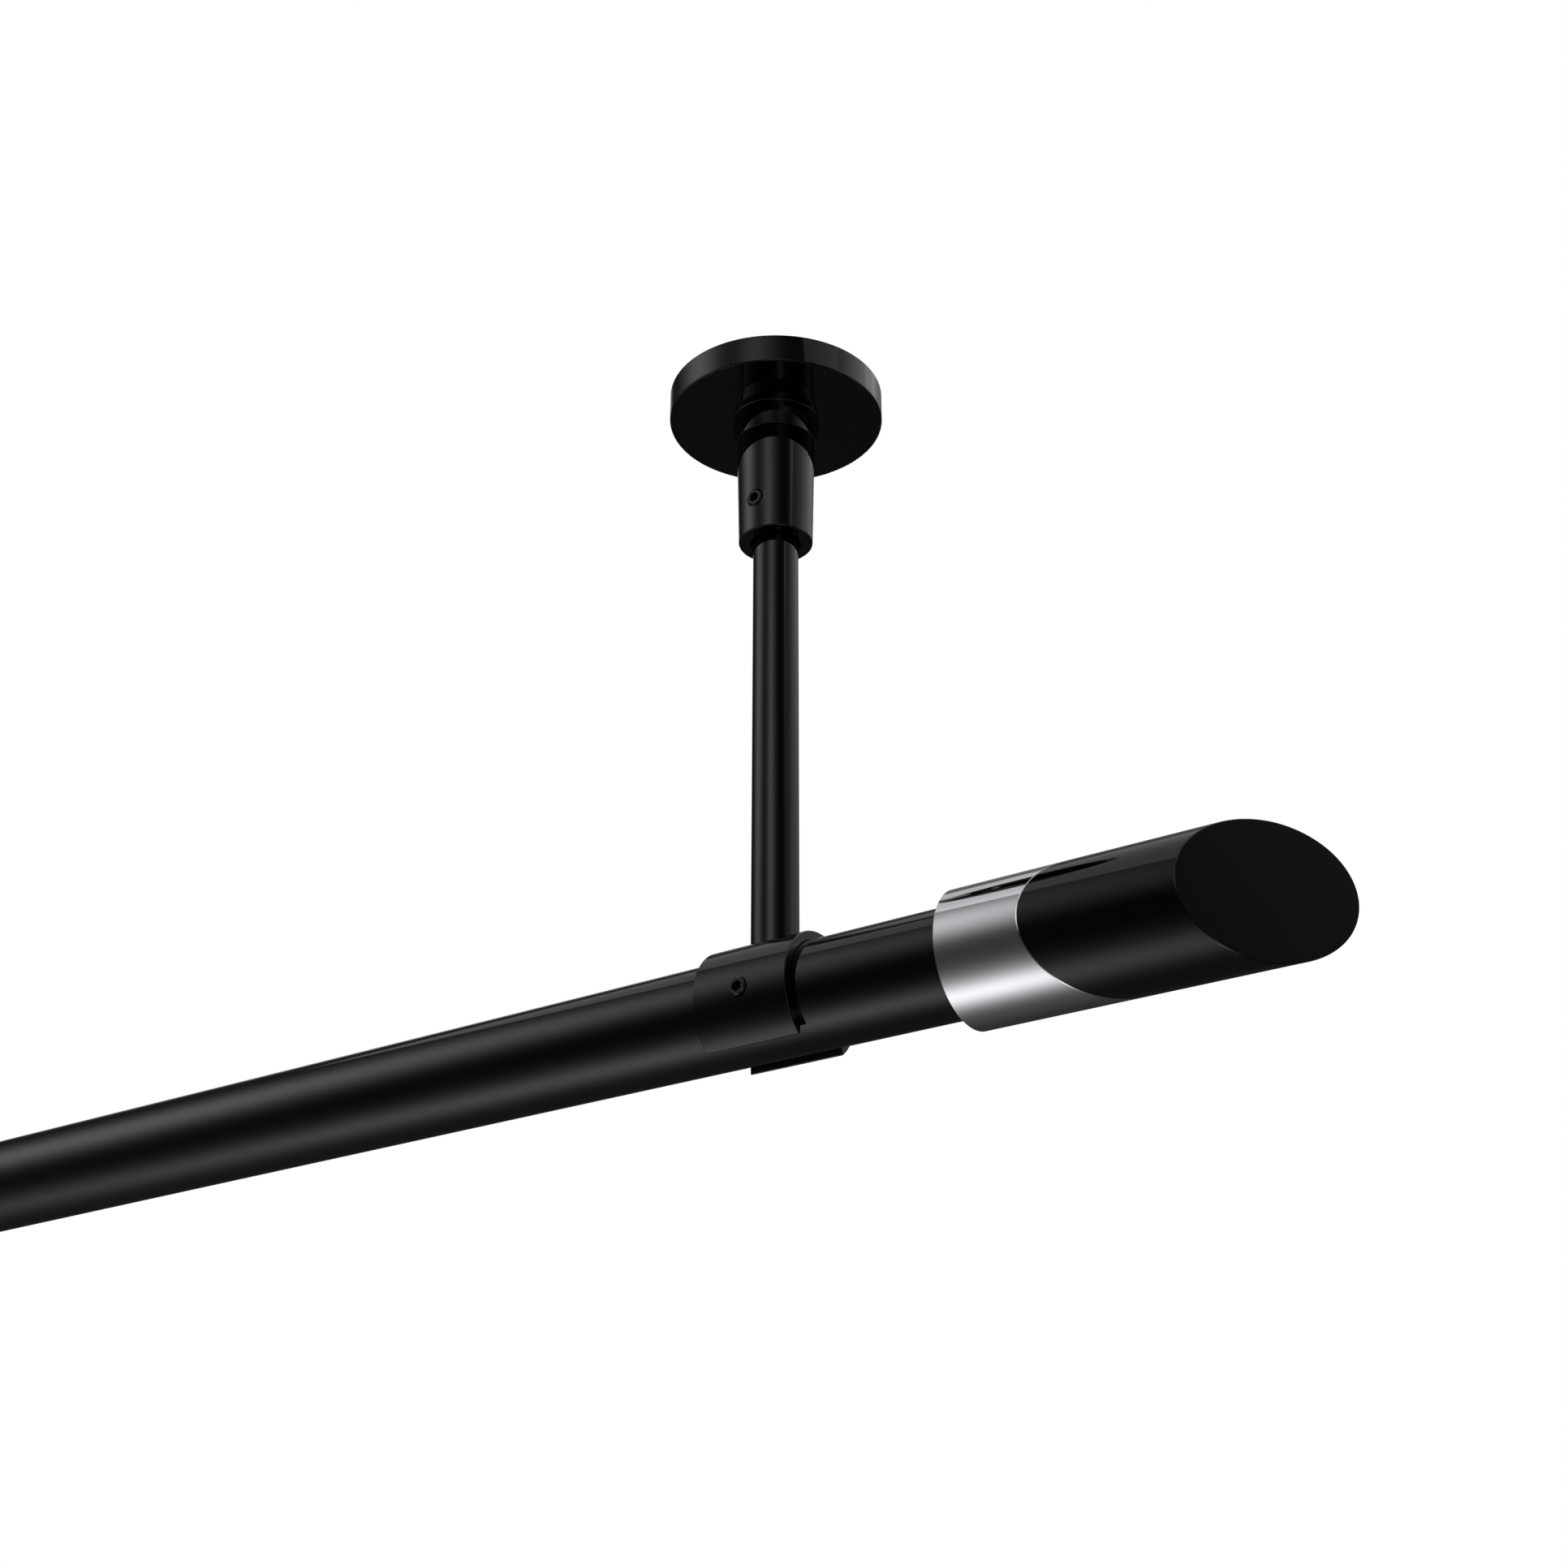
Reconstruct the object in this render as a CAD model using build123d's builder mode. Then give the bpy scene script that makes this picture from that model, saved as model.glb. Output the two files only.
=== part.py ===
from build123d import *
import os
from math import cos, radians, sin, tan

# Curtain pole hung below the ceiling on two drop brackets, with an oblique finial on each end.
# All sizes are in millimetres. X runs along the pole, -Y faces the room and +Z is up.
# The origin lies on the ceiling, midway between the two brackets.

# Pole: a drawn steel tube, lacquered black
pole_diameter = 28.0
pole_wall = 1.2
pole_length = 1200.0
pole_drop = 185.0            # from the ceiling down to the pole's axis
pole_overhang = 80.6         # from a bracket's axis out to the pole's end

# Collar: an open ring that holds the pole and lets the runners of the curtain rings pass below it
collar_length = 28.0
collar_wall = 2.25
collar_gap = 0.2             # radial play of the pole in the collar
collar_mouth = 18.8          # width of the slot cut straight up from below
collar_edge = 0.25
collar_lip_edge = 0.4        # rounding of the slot's two outer edges

# Drop rod
rod_diameter = 12.6
rod_insertion = 30.0         # length of the rod that stands inside the drop sleeve
rod_edge = 0.4
rod_tap_depth = 14.0

# Drop sleeve, which narrows a little towards its mouth
sleeve_length = 33.0
sleeve_wall = 3.95           # at the lower end
sleeve_flare = 0.7           # extra radius at the upper end
sleeve_edge = 0.4
mouth_gap = 0.75             # radial gap around the rod in the counterbored mouth
mouth_depth = 4.0
sleeve_screw_rise = 9.9      # set screw above the lower end

# Nipple: the turned core that clamps the flange ring, carries the sleeve and screws up into the ceiling disc
nipple_play = 0.1            # radial play of the rod in the nipple
nipple_wall = 1.0
nipple_spigot = 8.0          # length that is screwed into the sleeve
nipple_web = 1.8
stud_radius = 5.0
stud_end_play = 1.0          # from the stud's end up to the ceiling

# Flange ring between the cover plate and the sleeve: upright above, then narrowing down to the sleeve
flange_height = 7.4
flange_band = 2.3            # height of the upright part
flange_taper = 1.05          # radius lost below the upright part
flange_lip = 0.3             # radius beyond the sleeve's upper end
flange_web = 1.8             # thickness above the nipple's shoulder
flange_foot = 0.3            # hollow rounding where the ring meets the plate
flange_edge = 0.2

# Cover plate
cover_diameter = 60.6
cover_height = 8.4
cover_wall = 1.5
cover_edge = 0.4

# Ceiling disc, hidden in the cover plate and screwed to the ceiling
disc_play = 0.8              # radial gap to the cover plate
disc_thickness = 3.0
boss_radius = 9.0
fixing_circle = 34.0
fixing_count = 3
fixing_radius = 2.25
fixing_head_radius = 4.4

# Set screws with a hexagon socket
clamp_screw_radius = 2.45
clamp_socket = 2.5           # across flats
clamp_socket_share = 0.5     # depth of the socket as a share of the screw's length
thread_gap = 0.2             # radial gap between a set screw and its hole
tip_gap = 0.03               # between a set screw's end and what it bears on
sleeve_screw_stand = 0.4     # how far the screw stands out of the sleeve
collar_screw_stand = 0.7
screw_edge = 0.35

# Countersunk bolt that holds the collar to the rod
bolt_radius = 2.0
bolt_head_radius = 3.75
bolt_length = 12.0
bolt_socket = 2.5
bolt_socket_depth = 1.4
bolt_recess = 0.05           # head below the crown of the collar's bore
bolt_hole_play = 0.1

# Finial: a bright sleeve over the pole's end and a black tip, both cut on the slant
finial_wall = 3.45
socket_depth = 24.0          # length of pole inside the bright sleeve
finial_angle = 40.0          # the cuts are turned this far from square
joint_land = 1.2             # from the pole's end to the near side of the slanted joint
tip_length = 39.9            # along the axis, between the joint and the end face
tip_face_wall = 16.0
plug_wall = 4.0
plug_play = 0.3            # between the spigot's end and the pole's end
finial_edge = 0.15
finial_screw_radius = 1.9
finial_screw_inset = 11.0    # from the bright sleeve's square end
finial_screw_sink = 0.3
finial_socket = 2.0

# Fits
slide_gap = 0.05             # radial running clearance
seat_gap = 0.05              # radial clearance of screwed and pushed joints

# Sizes that follow from the ones above
pole_radius = pole_diameter / 2
pole_z = -pole_drop
bracket_x = pole_length / 2 - pole_overhang
collar_bore = pole_radius + collar_gap
collar_radius = collar_bore + collar_wall
crown_z = pole_z + collar_radius
rod_radius = rod_diameter / 2
sleeve_bore = rod_radius + slide_gap
sleeve_radius = sleeve_bore + sleeve_wall
nipple_bore = rod_radius + nipple_play
spigot_radius = nipple_bore + nipple_wall
flange_low_radius = sleeve_radius + sleeve_flare + flange_lip
flange_radius = flange_low_radius + flange_taper
cover_radius = cover_diameter / 2
cover_z = -cover_height
shoulder_z = cover_z - flange_web
sleeve_top = cover_z - flange_height
sleeve_bottom = sleeve_top - sleeve_length
sleeve_screw_z = sleeve_bottom + sleeve_screw_rise
rod_top = sleeve_bottom + rod_insertion
stud_bore = stud_radius + seat_gap
screw_hole = clamp_screw_radius + thread_gap
finial_bore = pole_radius + slide_gap
finial_radius = finial_bore + finial_wall
finial_slope = tan(radians(finial_angle))
finial_start = pole_length / 2 - socket_depth
joint_x = pole_length / 2 + joint_land + finial_bore * finial_slope
tip_x = joint_x + tip_length
finial_screw_hole = finial_screw_radius + thread_gap

os.makedirs("parts", exist_ok=True)


def save(piece, node):
    """Name a finished piece and write it."""
    piece.part.label = node
    export_step(piece.part, f"parts/{node}.step")


def section(x):
    """Upright plane through a bracket's axis: its own x is the radius, its own y is the height."""
    return Plane(origin=(x, 0, 0), x_dir=(1, 0, 0), z_dir=(0, -1, 0))


def upright(x):
    """Axis of a bracket."""
    return Axis((x, 0, 0), (0, 0, 1))


def across(x, side=1):
    """Plane square to the pole; it looks outward on the left (-1) or the right (1) side."""
    return Plane(origin=(x, 0, pole_z), x_dir=(0, side, 0), z_dir=(side, 0, 0))


def slant(x, side):
    """Plane of a slanted finial cut, which meets the pole's axis at x and faces out and to the room."""
    outward = (side * cos(radians(finial_angle)), -sin(radians(finial_angle)), 0)
    return Plane(origin=(x, 0, pole_z), x_dir=(0, 0, 1), z_dir=outward)


def set_screw(node, outer_end, inner_end, facing, radius, socket, x, z):
    """Headless screw along Y, from inner_end out to outer_end; facing is -1 to the room, 1 to the back."""
    length = outer_end - inner_end
    with BuildPart() as screw:
        with BuildSketch(Plane(origin=(x, facing * inner_end, z), z_dir=(0, facing, 0))):
            Circle(radius)
        extrude(amount=length)
        chamfer(screw.edges().filter_by(GeomType.CIRCLE), screw_edge)
        with BuildSketch(Plane(origin=(x, facing * outer_end, z), z_dir=(0, facing, 0))):
            RegularPolygon(socket / 2, 6, major_radius=False)
        extrude(amount=-length * clamp_socket_share, mode=Mode.SUBTRACT)
    save(screw, node)


def ceiling_disc(name, x):
    """Steel disc with a threaded boss; the fitter screws it to the ceiling first."""
    disc_radius = cover_radius - cover_wall - disc_play
    with BuildPart() as disc:
        with BuildSketch(Plane((x, 0, -disc_thickness))):
            Circle(disc_radius)
        extrude(amount=disc_thickness)
        with BuildSketch(Plane((x, 0, cover_z + cover_wall))):
            Circle(boss_radius)
        extrude(amount=cover_height - cover_wall - disc_thickness)
        with BuildSketch(Plane((x, 0, cover_z))):
            Circle(stud_bore)
        extrude(amount=cover_height, mode=Mode.SUBTRACT)
        with Locations(Plane(origin=(x, 0, -disc_thickness), z_dir=(0, 0, -1))):
            with PolarLocations(fixing_circle / 2, fixing_count, start_angle=90):
                CounterSinkHole(fixing_radius, fixing_head_radius, disc_thickness, counter_sink_angle=90)
    save(disc, f"{name}_ceiling_disc")


def cover_plate(name, x):
    """Turned cover that hides the ceiling disc; its rim meets the ceiling."""
    with BuildPart() as cover:
        with BuildSketch(section(x)):
            with BuildLine():
                Polyline(
                    (stud_bore, cover_z),
                    (cover_radius, cover_z),
                    (cover_radius, 0),
                    (cover_radius - cover_wall, 0),
                    (cover_radius - cover_wall, cover_z + cover_wall),
                    (stud_bore, cover_z + cover_wall),
                    close=True,
                )
            make_face()
        revolve(axis=upright(x))
        rim = cover.edges().filter_by(GeomType.CIRCLE).filter_by(lambda edge: edge.radius > cover_radius - 0.01)
        fillet(rim.sort_by(Axis.Z)[0], cover_edge)
    save(cover, f"{name}_cover_plate")


def flange_ring(name, x):
    """Round ring between the cover plate and the sleeve, with a small hollow foot against the plate."""
    foot_radius = flange_radius + flange_foot
    foot_z = cover_z - flange_foot
    core_radius = spigot_radius + seat_gap
    with BuildPart() as flange:
        with BuildSketch(section(x)):
            with BuildLine():
                Polyline(
                    (foot_radius, cover_z),
                    (stud_bore, cover_z),
                    (stud_bore, shoulder_z),
                    (core_radius, shoulder_z),
                    (core_radius, sleeve_top),
                    (flange_low_radius, sleeve_top),
                    (flange_radius, cover_z - flange_band),
                    (flange_radius, foot_z),
                )
                RadiusArc((flange_radius, foot_z), (foot_radius, cover_z), flange_foot)
            make_face()
        revolve(axis=upright(x))
        lower = flange.edges().filter_by(GeomType.CIRCLE).filter_by(lambda edge: edge.radius > core_radius + 0.01)
        fillet(lower.sort_by(Axis.Z)[0], flange_edge)
    save(flange, f"{name}_flange_ring")


def nipple(name, x):
    """Core with a stud above and a hollow spigot below."""
    spigot_end = sleeve_top - nipple_spigot
    with BuildPart() as core:
        with BuildSketch(section(x)):
            with BuildLine():
                Polyline(
                    (0, -stud_end_play),
                    (stud_radius, -stud_end_play),
                    (stud_radius, shoulder_z),
                    (spigot_radius, shoulder_z),
                    (spigot_radius, spigot_end),
                    (nipple_bore, spigot_end),
                    (nipple_bore, shoulder_z - nipple_web),
                    (0, shoulder_z - nipple_web),
                    close=True,
                )
            make_face()
        revolve(axis=upright(x))
    save(core, f"{name}_nipple")


def drop_sleeve(name, x):
    """Tapered sleeve that guides the drop rod and carries the set screw for the height."""
    socket_end = sleeve_top - nipple_spigot - seat_gap
    socket_radius = spigot_radius + seat_gap
    mouth_radius = rod_radius + mouth_gap
    with BuildPart() as sleeve:
        with BuildSketch(section(x)):
            with BuildLine():
                Polyline(
                    (socket_radius, sleeve_top),
                    (sleeve_radius + sleeve_flare, sleeve_top),
                    (sleeve_radius, sleeve_bottom),
                    (mouth_radius, sleeve_bottom),
                    (mouth_radius, sleeve_bottom + mouth_depth),
                    (sleeve_bore, sleeve_bottom + mouth_depth),
                    (sleeve_bore, socket_end),
                    (socket_radius, socket_end),
                    close=True,
                )
            make_face()
        revolve(axis=upright(x))
        outer = sleeve.edges().filter_by(GeomType.CIRCLE).filter_by(lambda edge: edge.radius > sleeve_radius - 0.01)
        fillet(outer, sleeve_edge)
        with BuildSketch(Plane(origin=(x, 0, sleeve_screw_z), z_dir=(0, -1, 0))):
            Circle(screw_hole)
        extrude(amount=2 * sleeve_radius, mode=Mode.SUBTRACT)
    save(sleeve, f"{name}_drop_sleeve")


def drop_rod(name, x):
    """Solid round bar, milled below to the curve of the collar, with a tapped hole in that end."""
    foot_z = pole_z + collar_bore
    with BuildPart() as rod:
        with BuildSketch(Plane((x, 0, foot_z))):
            Circle(rod_radius)
        extrude(amount=rod_top - foot_z)
        fillet(rod.edges().filter_by(GeomType.CIRCLE).sort_by(Axis.Z)[-1], rod_edge)
        with BuildSketch(across(x)):
            Circle(collar_radius)
        extrude(amount=rod_diameter, both=True, mode=Mode.SUBTRACT)
        with BuildSketch(Plane((x, 0, foot_z))):
            Circle(bolt_radius + seat_gap)
        extrude(amount=crown_z + rod_tap_depth - foot_z, mode=Mode.SUBTRACT)
    save(rod, f"{name}_drop_rod")


def collar(name, x):
    """Ring around the pole, open below, bolted under the rod's lower end."""
    reach = 2 * collar_radius
    head_z = pole_z + collar_bore + bolt_recess
    with BuildPart() as ring:
        with BuildSketch(across(x)):
            Circle(collar_radius)
            Circle(collar_bore, mode=Mode.SUBTRACT)
            Rectangle(collar_mouth, reach, align=(Align.CENTER, Align.MAX), mode=Mode.SUBTRACT)
        extrude(amount=collar_length / 2, both=True)
        fillet(ring.edges().filter_by(Axis.X).sort_by(Axis.Z)[:2], collar_lip_edge)
        ends = ring.faces().filter_by(Axis.X)
        fillet(ends.edges().filter_by(GeomType.CIRCLE).filter_by(lambda edge: edge.radius > collar_radius - 0.01),
               collar_edge)
        with Locations(Plane(origin=(x, 0, head_z), z_dir=(0, 0, -1))):
            CounterSinkHole(bolt_radius + bolt_hole_play, bolt_head_radius + bolt_hole_play, 2 * collar_wall,
                            counter_sink_angle=90)
        with BuildSketch(Plane(origin=(x, 0, pole_z), z_dir=(0, -1, 0))):
            Circle(screw_hole)
        extrude(amount=reach, mode=Mode.SUBTRACT)
    save(ring, f"{name}_collar")


def collar_bolt(name, x):
    """Countersunk bolt, put in from the bore of the collar up into the rod."""
    head_z = pole_z + collar_bore + bolt_recess
    shank_z = head_z + bolt_head_radius - bolt_radius
    with BuildPart() as bolt:
        with BuildSketch(section(x)):
            with BuildLine():
                Polyline(
                    (0, head_z),
                    (bolt_head_radius, head_z),
                    (bolt_radius, shank_z),
                    (bolt_radius, head_z + bolt_length),
                    (0, head_z + bolt_length),
                    close=True,
                )
            make_face()
        revolve(axis=upright(x))
        with BuildSketch(Plane((x, 0, head_z))):
            RegularPolygon(bolt_socket / 2, 6, major_radius=False)
        extrude(amount=bolt_socket_depth, mode=Mode.SUBTRACT)
    save(bolt, f"{name}_collar_bolt")


def pole():
    """The tube itself."""
    with BuildPart() as tube:
        with BuildSketch(across(0)):
            Circle(pole_radius)
            Circle(pole_radius - pole_wall, mode=Mode.SUBTRACT)
        extrude(amount=pole_length / 2, both=True)
    save(tube, "pole")


def finial_sleeve(name, side):
    """Bright sleeve pushed over the pole's end, square inside and slanted outside."""
    blank_length = joint_x + 2 * finial_radius * finial_slope - finial_start
    with BuildPart() as sleeve:
        with BuildSketch(across(side * finial_start, side)):
            Circle(finial_radius)
            Circle(finial_bore, mode=Mode.SUBTRACT)
        extrude(amount=blank_length)
        split(bisect_by=slant(side * joint_x, side), keep=Keep.BOTTOM)
        chamfer(sleeve.edges().filter_by(GeomType.ELLIPSE).sort_by(SortBy.LENGTH)[-1], finial_edge)
        chamfer(sleeve.edges().filter_by(GeomType.CIRCLE).sort_by(SortBy.LENGTH)[-1], finial_edge)
        screw_x = side * (finial_start + finial_screw_inset)
        with BuildSketch(Plane(origin=(screw_x, 0, pole_z), z_dir=(0, 1, 0))):
            Circle(finial_screw_hole)
        extrude(amount=2 * finial_radius, mode=Mode.SUBTRACT)
    save(sleeve, f"{name}_finial_sleeve")


def finial_tip(name, side):
    """Black tip with parallel slanted ends and a cored spigot that plugs the bright sleeve."""
    spare = 2 * finial_radius * finial_slope
    plug_radius = finial_bore - seat_gap
    plug_start = pole_length / 2 + plug_play
    core_radius = plug_radius - plug_wall
    core_end = tip_x - core_radius * finial_slope - tip_face_wall
    with BuildPart() as tip:
        with BuildSketch(across(side * (joint_x - spare), side)):
            Circle(finial_radius)
        extrude(amount=tip_length + 2 * spare)
        split(bisect_by=slant(side * joint_x, side), keep=Keep.TOP)
        split(bisect_by=slant(side * tip_x, side), keep=Keep.BOTTOM)
        chamfer(tip.edges().filter_by(GeomType.ELLIPSE), finial_edge)
        with BuildSketch(across(side * plug_start, side)):
            Circle(plug_radius)
        extrude(amount=joint_x + finial_bore * finial_slope - plug_start)
        with BuildSketch(across(side * plug_start, side)):
            Circle(core_radius)
        extrude(amount=core_end - plug_start, mode=Mode.SUBTRACT)
    save(tip, f"{name}_finial_tip")


for name, side in (("left", -1), ("right", 1)):
    x = side * bracket_x
    ceiling_disc(name, x)
    cover_plate(name, x)
    flange_ring(name, x)
    nipple(name, x)
    drop_sleeve(name, x)
    sleeve_radius_at_screw = sleeve_radius + sleeve_flare * sleeve_screw_rise / sleeve_length
    set_screw(f"{name}_sleeve_screw", sleeve_radius_at_screw + sleeve_screw_stand, rod_radius + tip_gap, -1,
              clamp_screw_radius, clamp_socket, x, sleeve_screw_z)
    drop_rod(name, x)
    collar(name, x)
    collar_bolt(name, x)
    set_screw(f"{name}_collar_screw", collar_radius + collar_screw_stand, pole_radius + tip_gap, -1,
              clamp_screw_radius, clamp_socket, x, pole_z)
    finial_sleeve(name, side)
    finial_tip(name, side)
    set_screw(f"{name}_finial_screw", finial_radius - finial_screw_sink, pole_radius + tip_gap, 1,
              finial_screw_radius, finial_socket, side * (finial_start + finial_screw_inset), pole_z)
pole()
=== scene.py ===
from math import cos, pi, radians, sin

import bmesh
import bpy
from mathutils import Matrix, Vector


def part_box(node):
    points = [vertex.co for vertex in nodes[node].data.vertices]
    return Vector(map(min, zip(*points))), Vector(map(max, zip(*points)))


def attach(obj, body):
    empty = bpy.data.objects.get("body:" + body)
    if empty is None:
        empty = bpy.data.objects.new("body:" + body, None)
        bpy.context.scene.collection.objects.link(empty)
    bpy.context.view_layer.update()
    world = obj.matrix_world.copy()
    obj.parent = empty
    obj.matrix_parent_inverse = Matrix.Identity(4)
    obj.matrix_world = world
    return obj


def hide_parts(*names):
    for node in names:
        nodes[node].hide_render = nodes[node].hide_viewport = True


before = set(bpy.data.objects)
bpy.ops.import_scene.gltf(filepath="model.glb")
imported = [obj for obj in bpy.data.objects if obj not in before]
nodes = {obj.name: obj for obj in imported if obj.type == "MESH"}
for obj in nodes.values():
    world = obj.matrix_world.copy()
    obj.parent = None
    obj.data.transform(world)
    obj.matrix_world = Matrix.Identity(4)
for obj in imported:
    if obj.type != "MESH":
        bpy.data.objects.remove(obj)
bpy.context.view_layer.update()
scene = bpy.context.scene
scene.view_settings.view_transform = "Standard"

# Camera
# It stands below the pole and in front of its right end, and looks up and to the left at the right
# bracket.

camera_place = Vector((0.8298, -0.4571, -0.3880))
camera_heading = 33.94       # turned to the left of square on
camera_rise = 25.64          # tilted up from level
camera_lens = 53.15          # for a sensor 36 mm wide
sensor_width = 36.0

camera_data = bpy.data.cameras.new("camera")
camera_data.lens = camera_lens
camera_data.sensor_width = sensor_width
camera_data.clip_start = 0.01
camera_data.clip_end = 100.0
camera = bpy.data.objects.new("camera", camera_data)
camera.location = camera_place
camera.rotation_euler = (pi / 2 + radians(camera_rise), 0, radians(camera_heading))
scene.collection.objects.link(camera)
scene.camera = camera

# Studio
# Black lacquer shows only what it mirrors, so the room is dark, with soft lights, a square light
# box overhead and a white sheet far behind. A camera sees plain white beyond the object.


def node_group(name, inputs, outputs):
    """Empty node group with named sockets, given as (name, type), and a default for each input."""
    group = bpy.data.node_groups.new(name, "ShaderNodeTree")
    for socket_name, kind, default in inputs:
        socket = group.interface.new_socket(socket_name, in_out="INPUT", socket_type=kind)
        socket.default_value = default
    for socket_name, kind in outputs:
        group.interface.new_socket(socket_name, in_out="OUTPUT", socket_type=kind)
    given = group.nodes.new("NodeGroupInput").outputs
    result = group.nodes.new("NodeGroupOutput").inputs
    return group, given, result


def feed(tree, socket, value):
    """Set an input socket to a plain value, or link another node's output to it."""
    if isinstance(value, bpy.types.NodeSocket):
        tree.links.new(value, socket)
    else:
        socket.default_value = value


def math_node(tree, operation, a, b=None, c=None, clamp=False):
    """One Math node; each argument is a number or a socket. Returns its output."""
    node = tree.nodes.new("ShaderNodeMath")
    node.operation = operation
    node.use_clamp = clamp
    for socket, value in zip(node.inputs, (a, b, c)):
        if value is not None:
            feed(tree, socket, value)
    return node.outputs[0]


def vector_node(tree, operation, a, b=None):
    """One Vector Math node; each argument is a tuple or a socket. Returns its output."""
    node = tree.nodes.new("ShaderNodeVectorMath")
    node.operation = operation
    for socket, value in zip(node.inputs, (a, b)):
        if value is not None:
            feed(tree, socket, value)
    gives_number = operation in ("DOT_PRODUCT", "LENGTH")
    return node.outputs["Value" if gives_number else "Vector"]


def towards(heading, height):
    """Unit vector to a place in the room: heading 0 is the room side, 90 degrees the right end."""
    turn, lift = radians(heading), radians(height)
    return Vector((sin(turn) * cos(lift), -cos(turn) * cos(lift), sin(lift)))


def soft_light_group():
    """Round light whose brightness falls away from its middle."""
    group, given, result = node_group(
        "Soft round light",
        (("Direction", "NodeSocketVector", (0, 0, 1)), ("Aim", "NodeSocketVector", (0, 0, 1)),
         ("Spread", "NodeSocketFloat", 0.5), ("Sharpness", "NodeSocketFloat", 6.0),
         ("Strength", "NodeSocketFloat", 1.0)),
        (("Light", "NodeSocketFloat"),),
    )
    facing = vector_node(group, "DOT_PRODUCT", given["Direction"], given["Aim"])
    away = math_node(group, "MULTIPLY", math_node(group, "SUBTRACT", 1.0, facing), 2.0)
    spread_squared = math_node(group, "MULTIPLY", given["Spread"], given["Spread"])
    spread_out = math_node(group, "ADD", math_node(group, "DIVIDE", away, spread_squared), 1.0)
    power = math_node(group, "MULTIPLY", given["Sharpness"], -1.0)
    fall = math_node(group, "POWER", spread_out, power)
    group.links.new(math_node(group, "MULTIPLY", fall, given["Strength"]), result["Light"])
    return group


def light_box_group():
    """Square light box overhead: even, with a soft edge, placed on a ceiling 1 m up."""
    group, given, result = node_group(
        "Overhead light box",
        (("Direction", "NodeSocketVector", (0, 0, 1)), ("Middle X", "NodeSocketFloat", 0.0),
         ("Middle Y", "NodeSocketFloat", 0.0), ("Half Side", "NodeSocketFloat", 1.0),
         ("Turn", "NodeSocketFloat", 0.0), ("Edge", "NodeSocketFloat", 0.1),
         ("Strength", "NodeSocketFloat", 0.5), ("Slope", "NodeSocketFloat", 0.0)),
        (("Light", "NodeSocketFloat"),),
    )
    split = group.nodes.new("ShaderNodeSeparateXYZ")
    group.links.new(given["Direction"], split.inputs[0])
    rise = math_node(group, "MAXIMUM", split.outputs["Z"], 0.001)
    ceiling_x = math_node(group, "DIVIDE", split.outputs["X"], rise)
    ceiling_y = math_node(group, "DIVIDE", split.outputs["Y"], rise)
    x = math_node(group, "SUBTRACT", ceiling_x, given["Middle X"])
    y = math_node(group, "SUBTRACT", ceiling_y, given["Middle Y"])
    cosine = math_node(group, "COSINE", given["Turn"])
    sine = math_node(group, "SINE", given["Turn"])
    along = math_node(group, "MULTIPLY_ADD", x, cosine, math_node(group, "MULTIPLY", y, sine))
    y_part = math_node(group, "MULTIPLY", y, cosine)
    across = math_node(group, "SUBTRACT", y_part, math_node(group, "MULTIPLY", x, sine))
    inside = []
    for offset in (along, across):
        distance = math_node(group, "ABSOLUTE", offset)
        room = math_node(group, "SUBTRACT", given["Half Side"], distance)
        edges = math_node(group, "DIVIDE", room, given["Edge"])
        share = math_node(group, "ADD", edges, 0.5, clamp=True)
        squared = math_node(group, "MULTIPLY", share, share)
        rounded = math_node(group, "SUBTRACT", 3.0, math_node(group, "MULTIPLY", share, 2.0))
        inside.append(math_node(group, "MULTIPLY", squared, rounded))
    shape = math_node(group, "MULTIPLY", inside[0], inside[1])
    level = math_node(group, "MULTIPLY_ADD", along, given["Slope"], given["Strength"])
    light = math_node(group, "MULTIPLY", shape, math_node(group, "MAXIMUM", level, 0.0))
    group.links.new(light, result["Light"])
    return group


studio_tint = (0.965, 0.975, 1.0, 1.0)
white_color = (1.0, 1.0, 1.0, 1.0)
dim_below = 0.015            # the little light that comes up from the studio's floor
below_start = 0.5            # share of it on the level, and how fast it grows downwards
below_growth = -3.0
table_start = -0.55          # the front light comes up behind a table's edge, and how fast
table_growth = 4.2
light_box_values = {
    "Middle X": 0.375, "Middle Y": 0.018, "Half Side": 0.978, "Turn": radians(33.7), "Edge": 0.04,
    "Strength": 0.322, "Slope": -0.088,
}

world = bpy.data.worlds.new("studio")
world.use_nodes = True
scene.world = world
tree = world.node_tree
tree.nodes.clear()
direction = tree.nodes.new("ShaderNodeTexCoord").outputs["Generated"]
round_light = soft_light_group()
light_box = light_box_group()


def soft_light(label, heading, height, spread, strength, sharpness=6.0):
    """One round light; heading, height and spread in degrees. Returns its brightness socket."""
    light = tree.nodes.new("ShaderNodeGroup")
    light.node_tree = round_light
    light.label = label
    tree.links.new(direction, light.inputs["Direction"])
    light.inputs["Aim"].default_value = towards(heading, height)
    light.inputs["Spread"].default_value = radians(spread)
    light.inputs["Sharpness"].default_value = sharpness
    light.inputs["Strength"].default_value = strength
    return light.outputs["Light"]


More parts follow.
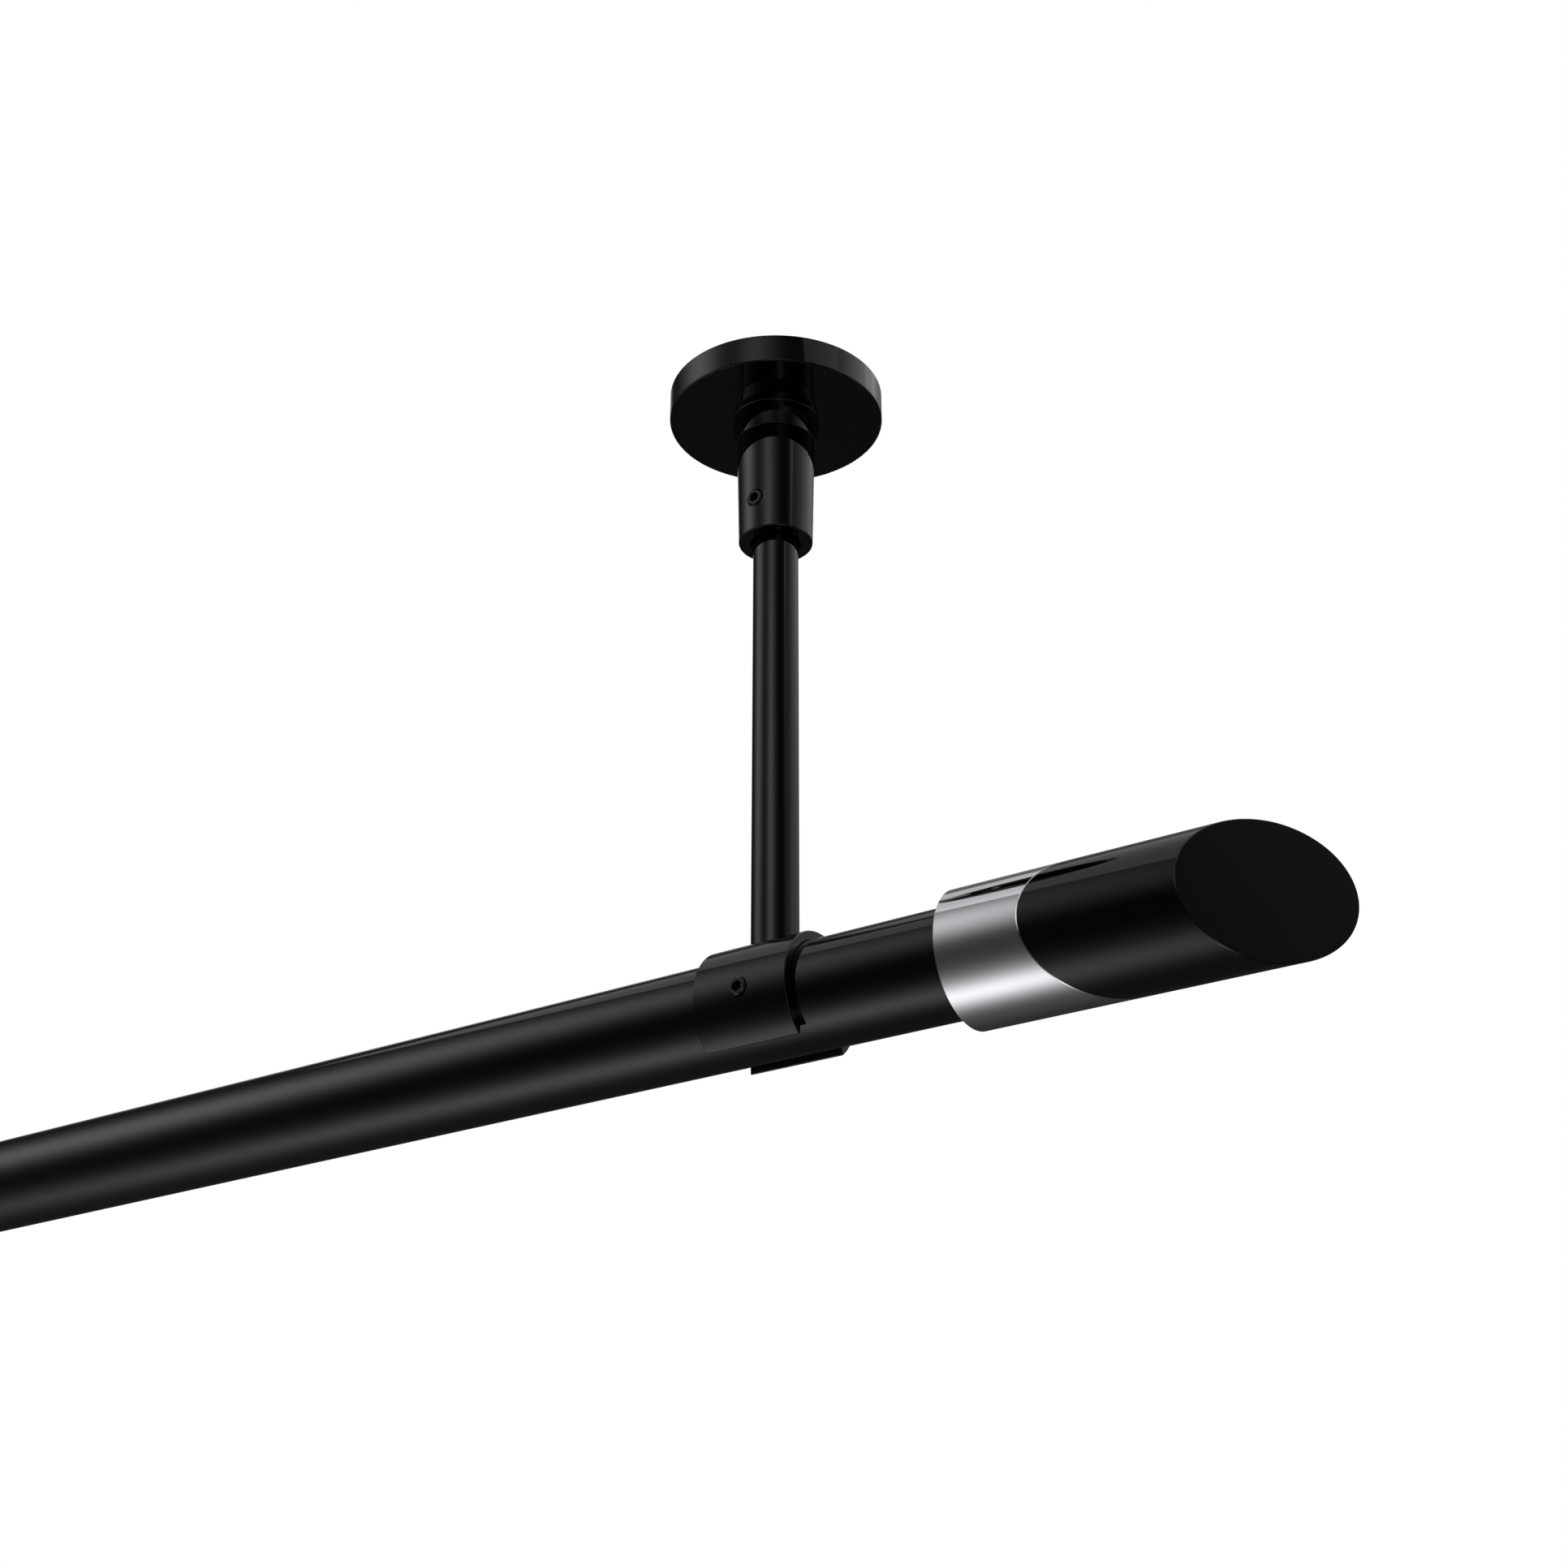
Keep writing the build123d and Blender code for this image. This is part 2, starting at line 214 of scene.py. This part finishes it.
height_split = tree.nodes.new("ShaderNodeSeparateXYZ")
tree.links.new(direction, height_split.inputs[0])
direction_height = height_split.outputs["Z"]
front = soft_light("front light", 11.5, 21.9, 61.6, 1.09, sharpness=12.5)
above_table = math_node(tree, "MULTIPLY_ADD", direction_height, table_growth, table_start,
                        clamp=True)
lights = [
    math_node(tree, "MULTIPLY", front, above_table),
    soft_light("left light, high", -54.3, 30.4, 62.3, 1.15, sharpness=10.6),
    soft_light("left light, low", -71.0, -55.4, 31.6, 1.16, sharpness=3.1),
    soft_light("front light, low", 56.7, -14.0, 20.0, 0.45, sharpness=3.0),
    soft_light("front light, level", 48.0, 7.0, 28.0, 0.14),
    soft_light("front light, on the floor", 47.0, -39.0, 13.0, 1.6, sharpness=3.0),
    soft_light("front light, narrow", 11.0, 28.0, 9.0, 0.2, sharpness=3.0),
    soft_light("right light, weak", 95.0, 20.0, 35.0, 0.16),
    soft_light("right light, narrow", 82.5, 30.0, 6.5, 0.3, sharpness=3.0),
    soft_light("right light, low", 124.0, 20.0, 22.0, 0.22),
    soft_light("right light, level", 115.0, 4.0, 30.0, 1.0),
    soft_light("back light", 145.2, 51.6, 65.5, 1.29, sharpness=6.2),
    soft_light("back light, narrow", 166.0, 38.0, 9.0, 0.5, sharpness=3.0),
    soft_light("back light, low", 150.0, -42.0, 20.0, 0.5, sharpness=3.0),
    soft_light("glow of the floor behind", -146.0, -35.0, 45.0, 0.017),
]
box = tree.nodes.new("ShaderNodeGroup")
box.node_tree = light_box
tree.links.new(direction, box.inputs["Direction"])
for socket, value in light_box_values.items():
    box.inputs[socket].default_value = value
lights.append(box.outputs["Light"])

below = math_node(tree, "MULTIPLY_ADD", direction_height, below_growth, below_start, clamp=True)
studio_level = math_node(tree, "MULTIPLY", below, dim_below)
for light in lights:
    studio_level = math_node(tree, "ADD", studio_level, light)
studio = tree.nodes.new("ShaderNodeBackground")
studio.inputs["Color"].default_value = studio_tint
tree.links.new(studio_level, studio.inputs["Strength"])

white = tree.nodes.new("ShaderNodeBackground")
white.inputs["Color"].default_value = white_color
path = tree.nodes.new("ShaderNodeLightPath")
sheet = soft_light("white sheet behind", -135.0, 23.3, 26.8, 1.48, sharpness=9.3)
mirrored = math_node(tree, "MAXIMUM", path.outputs["Is Glossy Ray"],
                     path.outputs["Is Transmission Ray"])
sheet_seen = math_node(tree, "MULTIPLY", mirrored, sheet, clamp=True)
white_seen = math_node(tree, "MAXIMUM", path.outputs["Is Camera Ray"], sheet_seen)
blend = tree.nodes.new("ShaderNodeMixShader")
tree.links.new(white_seen, blend.inputs[0])
tree.links.new(studio.outputs[0], blend.inputs[1])
tree.links.new(white.outputs[0], blend.inputs[2])
world_output = tree.nodes.new("ShaderNodeOutputWorld")
tree.links.new(blend.outputs[0], world_output.inputs["Surface"])

# Floor
# A round white paper sheet on the studio's floor, far below the hanging pole. It takes the pole's
# soft shadow and fades into the white beyond at its rim. The lacquer doesn't mirror it.

floor_level = -2.4
floor_radius = 2.2
floor_fade = 0.8             # share of the radius that is fully covered
floor_lift = 0.5             # brightness the paper has of its own for the camera
paper_color = (0.9, 0.9, 0.9, 1.0)
paper_grain = 900.0          # fibres to the metre
paper_depth = 0.0002
paper_roughness = 0.9
paper_sheen = 0.1
floor_columns = 96           # corners of the round sheet


def paper_group():
    """White paper: its cover, which fades out at the rim, and the height of its fibres."""
    group, given, result = node_group(
        "Paper sheet",
        (("Position", "NodeSocketVector", (0, 0, 0)), ("Radius", "NodeSocketFloat", 1.0),
         ("Covered", "NodeSocketFloat", 0.8), ("Grain", "NodeSocketFloat", 100.0),
         ("Depth", "NodeSocketFloat", 0.0001)),
        (("Cover", "NodeSocketFloat"), ("Height", "NodeSocketFloat")),
    )
    flat = vector_node(group, "MULTIPLY", given["Position"], (1.0, 1.0, 0.0))
    share = math_node(group, "DIVIDE", vector_node(group, "LENGTH", flat), given["Radius"])
    left = math_node(group, "SUBTRACT", 1.0, share)
    band = math_node(group, "SUBTRACT", 1.0, given["Covered"])
    group.links.new(math_node(group, "DIVIDE", left, band, clamp=True), result["Cover"])
    fibres = group.nodes.new("ShaderNodeTexNoise")
    group.links.new(given["Position"], fibres.inputs["Vector"])
    group.links.new(given["Grain"], fibres.inputs["Scale"])
    height = math_node(group, "MULTIPLY", fibres.outputs[0], given["Depth"])
    group.links.new(height, result["Height"])
    return group


def paper_material():
    """The sheet's material: plain diffuse paper that is a little lighter for the camera."""
    material = bpy.data.materials.new("floor paper")
    material.use_nodes = True
    tree = material.node_tree
    tree.nodes.clear()
    paper = tree.nodes.new("ShaderNodeGroup")
    paper.node_tree = paper_group()
    tree.links.new(tree.nodes.new("ShaderNodeTexCoord").outputs["Object"], paper.inputs["Position"])
    paper.inputs["Radius"].default_value = floor_radius
    paper.inputs["Covered"].default_value = floor_fade
    paper.inputs["Grain"].default_value = paper_grain
    paper.inputs["Depth"].default_value = paper_depth
    bump = tree.nodes.new("ShaderNodeBump")
    bump.inputs["Distance"].default_value = 1.0
    tree.links.new(paper.outputs["Height"], bump.inputs["Height"])
    shader = tree.nodes.new("ShaderNodeBsdfPrincipled")
    shader.inputs["Base Color"].default_value = paper_color
    shader.inputs["Roughness"].default_value = paper_roughness
    shader.inputs["Specular IOR Level"].default_value = paper_sheen
    shader.inputs["Emission Color"].default_value = white_color
    tree.links.new(bump.outputs["Normal"], shader.inputs["Normal"])
    seen = tree.nodes.new("ShaderNodeLightPath").outputs["Is Camera Ray"]
    glow = math_node(tree, "MULTIPLY", seen, floor_lift)
    tree.links.new(glow, shader.inputs["Emission Strength"])
    tree.links.new(paper.outputs["Cover"], shader.inputs["Alpha"])
    output = tree.nodes.new("ShaderNodeOutputMaterial")
    tree.links.new(shader.outputs[0], output.inputs["Surface"])
    return material


floor_mesh = bpy.data.meshes.new("floor")
floor_shape = bmesh.new()
bmesh.ops.create_circle(floor_shape, cap_ends=True, radius=floor_radius, segments=floor_columns)
floor_shape.to_mesh(floor_mesh)
floor_shape.free()
floor = bpy.data.objects.new("floor", floor_mesh)
floor.location = (0, 0, floor_level)
floor_mesh.materials.append(paper_material())
scene.collection.objects.link(floor)
floor.visible_glossy = False

# Ceiling discs
# Sheet steel, stamped and zinc plated, with three countersunk holes. Screwed to the ceiling before
# the rest goes up, and hidden by the cover plate, so only a look from above shows them.

zinc_light = (0.62, 0.63, 0.66, 1.0)
zinc_dark = (0.44, 0.45, 0.49, 1.0)
zinc_patch = 260.0           # patches to the metre
zinc_smooth = 0.24
zinc_dull = 0.42
zinc_depth = 0.000006
zinc_rubs = 400.0            # rubbing marks to the metre, drawn out along the pole
zinc_rub_stretch = (1.0, 12.0, 1.0)
zinc_patch_share = 0.5       # weight of the patches beside the cloud
sides = ("left", "right")


def noise(tree, position, scale, detail=2.0):
    """One noise texture. Returns its value socket."""
    node = tree.nodes.new("ShaderNodeTexNoise")
    feed(tree, node.inputs["Vector"], position)
    feed(tree, node.inputs["Scale"], scale)
    node.inputs["Detail"].default_value = detail
    return node.outputs[0]


def mixed_color(tree, share, low, high):
    """Colour between two others. Returns its socket."""
    node = tree.nodes.new("ShaderNodeMix")
    node.data_type = "RGBA"
    feed(tree, node.inputs[0], share)
    feed(tree, node.inputs[6], low)
    feed(tree, node.inputs[7], high)
    return node.outputs[2]


def between(tree, share, low, high):
    """Number between two others; each is a number or a socket."""
    span = math_node(tree, "SUBTRACT", high, low)
    return math_node(tree, "MULTIPLY_ADD", share, span, low)


def surface(name, group, values, metallic):
    """Material whose colour, roughness and bump come from one node group, fed with these values."""
    material = bpy.data.materials.new(name)
    material.use_nodes = True
    tree = material.node_tree
    shader = tree.nodes["Principled BSDF"]
    look = tree.nodes.new("ShaderNodeGroup")
    look.node_tree = group
    tree.links.new(tree.nodes.new("ShaderNodeTexCoord").outputs["Object"], look.inputs["Position"])
    for socket, value in values.items():
        look.inputs[socket].default_value = value
    bump = tree.nodes.new("ShaderNodeBump")
    bump.inputs["Distance"].default_value = 1.0
    tree.links.new(look.outputs["Height"], bump.inputs["Height"])
    tree.links.new(look.outputs["Color"], shader.inputs["Base Color"])
    tree.links.new(look.outputs["Roughness"], shader.inputs["Roughness"])
    tree.links.new(bump.outputs["Normal"], shader.inputs["Normal"])
    shader.inputs["Metallic"].default_value = metallic
    return material


look_outputs = (
    ("Color", "NodeSocketColor"), ("Roughness", "NodeSocketFloat"), ("Height", "NodeSocketFloat"),
)


def zinc_group():
    """Zinc plating: cloudy patches of light and dull metal, with fine rubbing marks."""
    group, given, result = node_group(
        "Zinc plating",
        (("Position", "NodeSocketVector", (0, 0, 0)),
         ("Light Color", "NodeSocketColor", (1, 1, 1, 1)),
         ("Dark Color", "NodeSocketColor", (0.5, 0.5, 0.5, 1)),
         ("Patches", "NodeSocketFloat", 200.0), ("Depth", "NodeSocketFloat", 0.00001),
         ("Smooth", "NodeSocketFloat", 0.2), ("Dull", "NodeSocketFloat", 0.4)),
        look_outputs,
    )
    patches = group.nodes.new("ShaderNodeTexVoronoi")
    group.links.new(given["Position"], patches.inputs["Vector"])
    group.links.new(given["Patches"], patches.inputs["Scale"])
    cloud = noise(group, given["Position"], given["Patches"], detail=4.0)
    stretched = vector_node(group, "MULTIPLY", given["Position"], zinc_rub_stretch)
    rubbed = noise(group, stretched, zinc_rubs)
    distance = patches.outputs["Distance"]
    share = math_node(group, "MULTIPLY_ADD", distance, zinc_patch_share, cloud, clamp=True)
    color = mixed_color(group, share, given["Dark Color"], given["Light Color"])
    group.links.new(color, result["Color"])
    group.links.new(between(group, rubbed, given["Smooth"], given["Dull"]), result["Roughness"])
    group.links.new(math_node(group, "MULTIPLY", cloud, given["Depth"]), result["Height"])
    return group


def dress(piece, material):
    """Give one kind of piece its material, left and right."""
    for side in sides:
        nodes[f"{side}_{piece}"].material_slots[0].material = material


zinc = surface("zinc plate", zinc_group(), {
    "Light Color": zinc_light, "Dark Color": zinc_dark, "Patches": zinc_patch,
    "Smooth": zinc_smooth, "Dull": zinc_dull, "Depth": zinc_depth,
}, metallic=1.0)
dress("ceiling_disc", zinc)

# Cover plates
# Steel, turned and lacquered black. Each is pushed up over its ceiling disc and held there by the
# flange ring.

lacquer_color = (0.0005, 0.0005, 0.0006, 1.0)
dust_color = (0.0025, 0.0025, 0.003, 1.0)
peel_size = 240.0            # ripples of the lacquer to the metre
peel_depth = 0.0000012
lacquer_gloss = 0.012
lacquer_haze = 0.03
haze_scale = 0.2             # clouds of haze and specks of dust, against the ripples
dust_scale = 8.0
dust_edge = 8.0              # how sharply a speck stands out
dust_start = -5.8            # leaves only the highest of the noise, so specks are few


def lacquer_group():
    """Gloss black lacquer: a slight ripple, a little haze in places and a few specks of dust."""
    group, given, result = node_group(
        "Black lacquer",
        (("Position", "NodeSocketVector", (0, 0, 0)), ("Stretch", "NodeSocketVector", (1, 1, 1)),
         ("Lacquer Color", "NodeSocketColor", (0, 0, 0, 1)),
         ("Dust Color", "NodeSocketColor", (0.1, 0.1, 0.1, 1)),
         ("Ripples", "NodeSocketFloat", 300.0), ("Depth", "NodeSocketFloat", 0.000001),
         ("Gloss", "NodeSocketFloat", 0.03), ("Haze", "NodeSocketFloat", 0.1)),
        look_outputs,
    )
    place = vector_node(group, "MULTIPLY", given["Position"], given["Stretch"])
    ripple = noise(group, place, given["Ripples"])
    haze_clouds = math_node(group, "MULTIPLY", given["Ripples"], haze_scale)
    haze = noise(group, place, haze_clouds, detail=3.0)
    dust_specks = math_node(group, "MULTIPLY", given["Ripples"], dust_scale)
    specks = noise(group, given["Position"], dust_specks)
    dust = math_node(group, "MULTIPLY_ADD", specks, dust_edge, dust_start, clamp=True)
    color = mixed_color(group, dust, given["Lacquer Color"], given["Dust Color"])
    group.links.new(color, result["Color"])
    group.links.new(between(group, haze, given["Gloss"], given["Haze"]), result["Roughness"])
    group.links.new(math_node(group, "MULTIPLY", ripple, given["Depth"]), result["Height"])
    return group


black_lacquer = lacquer_group()


def lacquer(name, stretch=(1.0, 1.0, 1.0), ripples=peel_size):
    """Black lacquer for one kind of piece; its ripples run long where the stretch is small."""
    return surface(name, black_lacquer, {
        "Lacquer Color": lacquer_color, "Dust Color": dust_color, "Stretch": stretch,
        "Ripples": ripples, "Depth": peel_depth, "Gloss": lacquer_gloss, "Haze": lacquer_haze,
    }, metallic=0.0)


cover_lacquer = lacquer("cover plate lacquer")
dress("cover_plate", cover_lacquer)

# Flange rings
# Turned steel, lacquered with the cover plate. The nipple's shoulder clamps each ring up against
# the plate's middle.

small_peel = 2 * peel_size   # the ripples are finer on small pieces
flange_lacquer = lacquer("flange ring lacquer", ripples=small_peel)
dress("flange_ring", flange_lacquer)

# Nipples
# A turned steel core inside the flange ring, with a stud that screws up into the ceiling disc and a
# hollow spigot that the sleeve is screwed onto. Nothing of it shows once the bracket is up.

nipple_lacquer = lacquer("nipple lacquer", ripples=small_peel)
dress("nipple", nipple_lacquer)

# Drop sleeves
# Turned from thick tube, with a slight taper and a counterbored mouth. Screwed up onto the nipple.

sleeve_lacquer = lacquer("drop sleeve lacquer", stretch=(1.0, 1.0, 0.5))
dress("drop_sleeve", sleeve_lacquer)

# Sleeve screws
# Steel set screws with a metric thread, a hexagon socket and a black oxide finish. Screwed in from
# the room side, each bears on its drop rod and so fixes the height of the pole.

thread_pitch = 0.0008
thread_depth = 0.00012
screw_columns = 72
thread_steps = 8             # rings of the mesh to each turn of the thread
screw_edge = 0.00035
socket_flats = 0.0025        # across the flats of the socket
socket_share = 0.62          # depth of the socket as a share of the screw's length
socket_mouth = 0.00012       # width of the bevel round the socket
to_room = -1                 # side that a screw's socket faces
to_back = 1
cup_depth = 0.0004           # hollow in the end that bears on the rod
cup_share = 0.35             # radius of the hollow's floor as a share of the screw's
drill_share = 0.8            # width of the drilled floor, against the socket's
drill_point = 0.1            # width and depth of the drill's point, against the same
drill_depth = 0.12
thread_crest = 1.3           # above 1 the crests of the thread are narrow flats
smooth_up_to = 35.0          # degrees between faces that are shaded as one surface
oxide_color = (0.004, 0.004, 0.0045, 1.0)
oxide_worn = (0.03, 0.03, 0.032, 1.0)
oxide_grain = 2500.0
oxide_depth = 0.000002
oxide_smooth = 0.12
oxide_dull = 0.24
worn_scale = 0.2             # rubbed patches, against the grain
worn_edge = 4.0
worn_start = -2.0


def ring_mesh(name, rings, place):
    """Closed surface through rings, each a function of the angle that gives (radius, height)."""
    shape = bmesh.new()
    angles = [2 * pi * i / screw_columns for i in range(screw_columns)]
    loops = []
    for ring in rings:
        points = [(*ring(angle), angle) for angle in angles]
        loops.append([shape.verts.new(place(r * cos(a), r * sin(a), h)) for r, h, a in points])
    for lower, upper in zip(loops, loops[1:]):
        for i in range(screw_columns):
            j = (i + 1) % screw_columns
            shape.faces.new((lower[i], lower[j], upper[j], upper[i]))
    for loop, ring in ((loops[0], rings[0]), (loops[-1], rings[-1])):
        middle = shape.verts.new(place(0, 0, ring(0)[1]))
        for i in range(screw_columns):
            shape.faces.new((loop[i], loop[(i + 1) % screw_columns], middle))
    bmesh.ops.recalc_face_normals(shape, faces=shape.faces)
    mesh = bpy.data.meshes.new(name)
    shape.to_mesh(mesh)
    shape.free()
    mesh.shade_smooth()
    mesh.set_sharp_from_angle(angle=radians(smooth_up_to))
    return mesh


def plain_ring(radius, height):
    """Round ring."""
    return lambda angle: (radius, height)


def hexagon_ring(half_flats, height, turn):
    """Six-sided ring with one flat facing the angle 30 degrees past the turn."""
    sixth = pi / 3
    return lambda angle: (half_flats / cos((angle - turn) % sixth - sixth / 2), height)


def thread_ring(radius, height, pitch, depth, fade):
    """Ring round a screw thread; fade goes from 0, no thread, to 1, full depth."""
    def ring(angle):
        turn = (height / pitch - angle / (2 * pi)) % 1
        crest = abs(2 * turn - 1)
        return radius - depth * fade * min(1.0, thread_crest * crest), height
    return ring


def set_screw(name, node, body, facing, pitch, flats, turn):
    """Threaded set screw in place of a plain CAD one, its socket turned about its axis."""
    low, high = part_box(node)
    radius = (high.x - low.x) / 2
    middle_x, middle_z = (low.x + high.x) / 2, (low.z + high.z) / 2
    inner, outer = (high.y, low.y) if facing < 0 else (low.y, high.y)
    length = abs(outer - inner)
    rings = [
        plain_ring(radius * cup_share, cup_depth),
        plain_ring(radius - screw_edge - cup_depth, 0.0),
        plain_ring(radius - screw_edge, 0.0),
    ]
    count = round((length - 2 * screw_edge) / pitch * thread_steps)
    for i in range(count + 1):
        height = screw_edge + (length - 2 * screw_edge) * i / count
        fade = min(1.0, i / thread_steps, (count - i) / thread_steps)
        rings.append(thread_ring(radius, height, pitch, thread_depth, fade))
    floor_height = length * (1 - socket_share)
    rings += [
        plain_ring(radius - screw_edge, length),
        hexagon_ring(flats / 2 + socket_mouth, length, turn),
        hexagon_ring(flats / 2, length - socket_mouth, turn),
        hexagon_ring(flats / 2, floor_height, turn),
        plain_ring(flats / 2 * drill_share, floor_height),
        plain_ring(flats / 2 * drill_point, floor_height - flats * drill_depth),
    ]

    def place(u, v, height):
        return (middle_x + u, inner + facing * height, middle_z + v)

    screw = bpy.data.objects.new(name, ring_mesh(name, rings, place))
    scene.collection.objects.link(screw)
    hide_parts(node)
    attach(screw, body)
    return screw


def oxide_group():
    """Black oxide on steel: fine grain, with patches rubbed a little lighter and smoother."""
    group, given, result = node_group(
        "Black oxide",
        (("Position", "NodeSocketVector", (0, 0, 0)),
         ("Oxide Color", "NodeSocketColor", (0, 0, 0, 1)),
         ("Worn Color", "NodeSocketColor", (0.1, 0.1, 0.1, 1)),
         ("Grain", "NodeSocketFloat", 1000.0), ("Depth", "NodeSocketFloat", 0.000001),
         ("Smooth", "NodeSocketFloat", 0.1), ("Dull", "NodeSocketFloat", 0.3)),
        look_outputs,
    )
    grain = noise(group, given["Position"], given["Grain"])
    worn_grain = math_node(group, "MULTIPLY", given["Grain"], worn_scale)
    worn = noise(group, given["Position"], worn_grain, detail=3.0)
    rubbed = math_node(group, "MULTIPLY_ADD", worn, worn_edge, worn_start, clamp=True)
    color = mixed_color(group, rubbed, given["Oxide Color"], given["Worn Color"])
    group.links.new(color, result["Color"])
    group.links.new(between(group, worn, given["Dull"], given["Smooth"]), result["Roughness"])
    group.links.new(math_node(group, "MULTIPLY", grain, given["Depth"]), result["Height"])
    return group


oxide = surface("black oxide", oxide_group(), {
    "Oxide Color": oxide_color, "Worn Color": oxide_worn, "Grain": oxide_grain,
    "Depth": oxide_depth, "Smooth": oxide_smooth, "Dull": oxide_dull,
}, metallic=0.0)
sleeve_socket_turn = 0.2
for side in sides:
    screw = set_screw(f"{side}_sleeve_set_screw", f"{side}_sleeve_screw", f"{side}_sleeve_clamp",
                      to_room, thread_pitch, socket_flats, sleeve_socket_turn)
    screw.data.materials.append(oxide)

# Drop rods
# Solid bright bar, cut to length, milled and tapped below to fit the collar, and lacquered. Each
# slides in its sleeve and nipple.

rod_lacquer = lacquer("drop rod lacquer", stretch=(1.0, 1.0, 0.3))
dress("drop_rod", rod_lacquer)

# Collars
# Short lengths of tube, slotted below so that ring runners pass, and lacquered. One bolt holds each
# to its rod.

collar_lacquer = lacquer("collar lacquer", stretch=(0.5, 1.0, 1.0))
dress("collar", collar_lacquer)

# Collar bolts
# Countersunk steel bolts with a hexagon socket, screwed up from inside the collar into the rod. The
# pole hides them.

dress("collar_bolt", oxide)

# Collar screws
# Set screws as in the sleeves. They press the pole against the back of each collar.

collar_socket_turn = 0.45
for side in sides:
    screw = set_screw(f"{side}_collar_set_screw", f"{side}_collar_screw", f"{side}_collar_clamp",
                      to_room, thread_pitch, socket_flats, collar_socket_turn)
    screw.data.materials.append(oxide)

# Pole
# Drawn steel tube, lacquered black after drawing, so the ripples of the lacquer run long. Laid into
# the collars.

pole_lacquer = lacquer("pole lacquer", stretch=(0.12, 1.0, 1.0))
nodes["pole"].material_slots[0].material = pole_lacquer

# Finial sleeves
# Aluminium, turned, polished and clear anodised. Pushed over the ends of the pole and held by a
# screw at the back.

aluminium_light = (0.93, 0.935, 0.94, 1.0)
aluminium_dark = (0.86, 0.865, 0.87, 1.0)
turning_lines = 9000.0       # fine marks of the tool to the metre
turning_depth = 0.00000005
aluminium_smooth = 0.02
aluminium_dull = 0.045
round_the_axis = (1.0, 0.01, 0.01)
band_scale = 0.1             # bands of finer and coarser turning, against the lines
anodised_cloud = 80.0


def aluminium_group():
    """Polished aluminium: fine turning lines round the pole's axis, and a faint cloud in it."""
    group, given, result = node_group(
        "Polished aluminium",
        (("Position", "NodeSocketVector", (0, 0, 0)),
         ("Light Color", "NodeSocketColor", (1, 1, 1, 1)),
         ("Dark Color", "NodeSocketColor", (0.8, 0.8, 0.8, 1)),
         ("Lines", "NodeSocketFloat", 5000.0), ("Depth", "NodeSocketFloat", 0.0000001),
         ("Smooth", "NodeSocketFloat", 0.05), ("Dull", "NodeSocketFloat", 0.1)),
        look_outputs,
    )
    along = vector_node(group, "MULTIPLY", given["Position"], round_the_axis)
    lines = noise(group, along, given["Lines"])
    band_size = math_node(group, "MULTIPLY", given["Lines"], band_scale)
    bands = noise(group, along, band_size)
    cloud = noise(group, given["Position"], anodised_cloud, detail=4.0)
    color = mixed_color(group, cloud, given["Dark Color"], given["Light Color"])
    group.links.new(color, result["Color"])
    group.links.new(between(group, bands, given["Smooth"], given["Dull"]), result["Roughness"])
    group.links.new(math_node(group, "MULTIPLY", lines, given["Depth"]), result["Height"])
    return group


aluminium = surface("polished aluminium", aluminium_group(), {
    "Light Color": aluminium_light, "Dark Color": aluminium_dark, "Lines": turning_lines,
    "Depth": turning_depth, "Smooth": aluminium_smooth, "Dull": aluminium_dull,
}, metallic=1.0)
dress("finial_sleeve", aluminium)

# Finial tips
# Turned and cored aluminium, cut on the slant at both ends and lacquered black. The spigot plugs
# the bright sleeve.

tip_lacquer = lacquer("finial tip lacquer", stretch=(0.5, 1.0, 1.0))
dress("finial_tip", tip_lacquer)

# Finial screws
# Smaller set screws, sunk into the back of each bright sleeve, where the room doesn't see them.

small_pitch = 0.0007
small_flats = 0.002
finial_socket_turn = 0.1
for side in sides:
    screw = set_screw(f"{side}_finial_set_screw", f"{side}_finial_screw", f"{side}_finial_clamp",
                      to_back, small_pitch, small_flats, finial_socket_turn)
    screw.data.materials.append(oxide)
